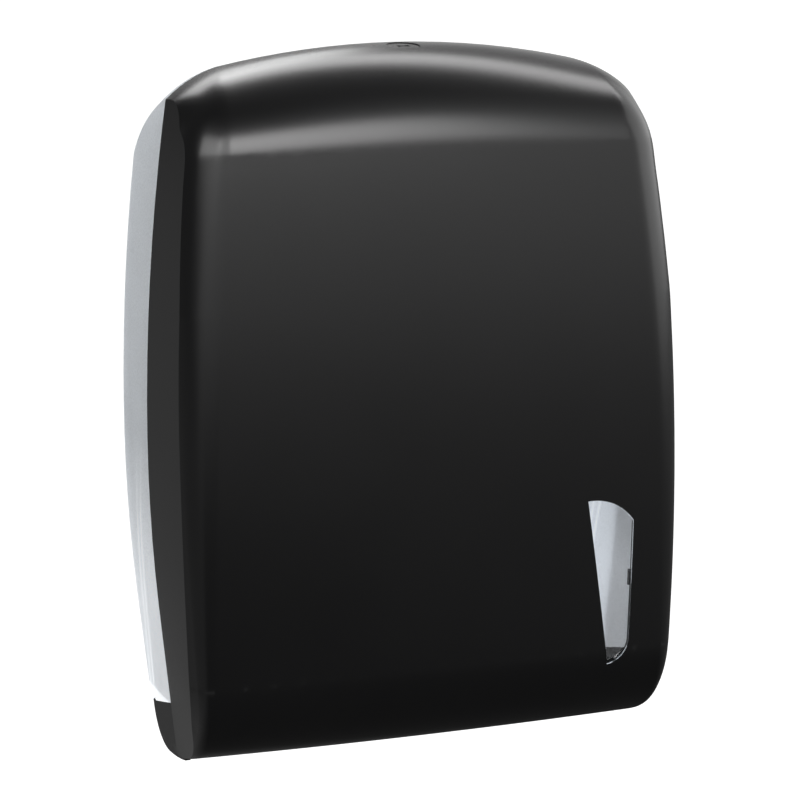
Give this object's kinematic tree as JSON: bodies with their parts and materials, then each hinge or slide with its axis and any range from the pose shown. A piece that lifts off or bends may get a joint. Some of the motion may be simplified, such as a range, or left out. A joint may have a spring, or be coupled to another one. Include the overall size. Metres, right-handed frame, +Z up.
{
  "type": "folded paper towel dispenser",
  "caption": "Wall-mounted folded paper towel dispenser: frosted back shell, black front cover that swings down, top key lock, wedge sight window and a tray with a towel slot.",
  "frame": {"origin": "centre of the four wall-screw holes, on the wall face of the back shell", "axes": "+X to the right as seen from the front, the front faces -Y and the wall is the plane Y = 0, +Z up"},
  "size_m": [0.2902, 0.124, 0.3941],
  "materials": {
    "shell_frosted": "satin, slightly translucent silver grey",
    "cover_black": "satin gloss black",
    "window_clear": "clear moulded plastic",
    "frame_black": "fine matt black",
    "lock_black": "satin black",
    "plated_steel": "zinc plated",
    "tray_grey": "satin grey",
    "washer_white": "smooth white",
    "buffer_rubber": "soft black"
  },
  "bodies": {
    "shell": {"back_shell": "shell_frosted", "cover_buffers": "buffer_rubber", "guide_screws": "plated_steel", "hinge_pin_left": "plated_steel", "hinge_pin_right": "plated_steel", "hinge_washer_left": "washer_white", "hinge_washer_right": "washer_white", "keeper_screws": "plated_steel", "lock_keeper": "plated_steel", "stack_guide_left": "tray_grey", "stack_guide_right": "tray_grey", "throat_collar": "frame_black", "towel_tray": "tray_grey", "tray_screws": "plated_steel"},
    "cover": {"front_cover": "cover_black", "window_lens": "window_clear", "window_frame": "frame_black", "lock_housing": "lock_black", "lock_nut": "lock_black"},
    "lock": {"lock_barrel": "lock_black", "lock_cam": "plated_steel", "lock_cam_washer": "plated_steel", "lock_cam_screw": "plated_steel"}
  },
  "joints": [
    {"name": "cover_hinge", "type": "hinge", "parent": "shell", "child": "cover", "pos_m": [0, -0.035, -0.165], "axis": [1, 0, 0], "range_deg": [0, 92]},
    {"name": "lock_turn", "type": "hinge", "parent": "cover", "child": "lock", "pos_m": [0, -0.06, 0.185], "axis": [0, 0, 1], "range_deg": [0, 90]}
  ]
}
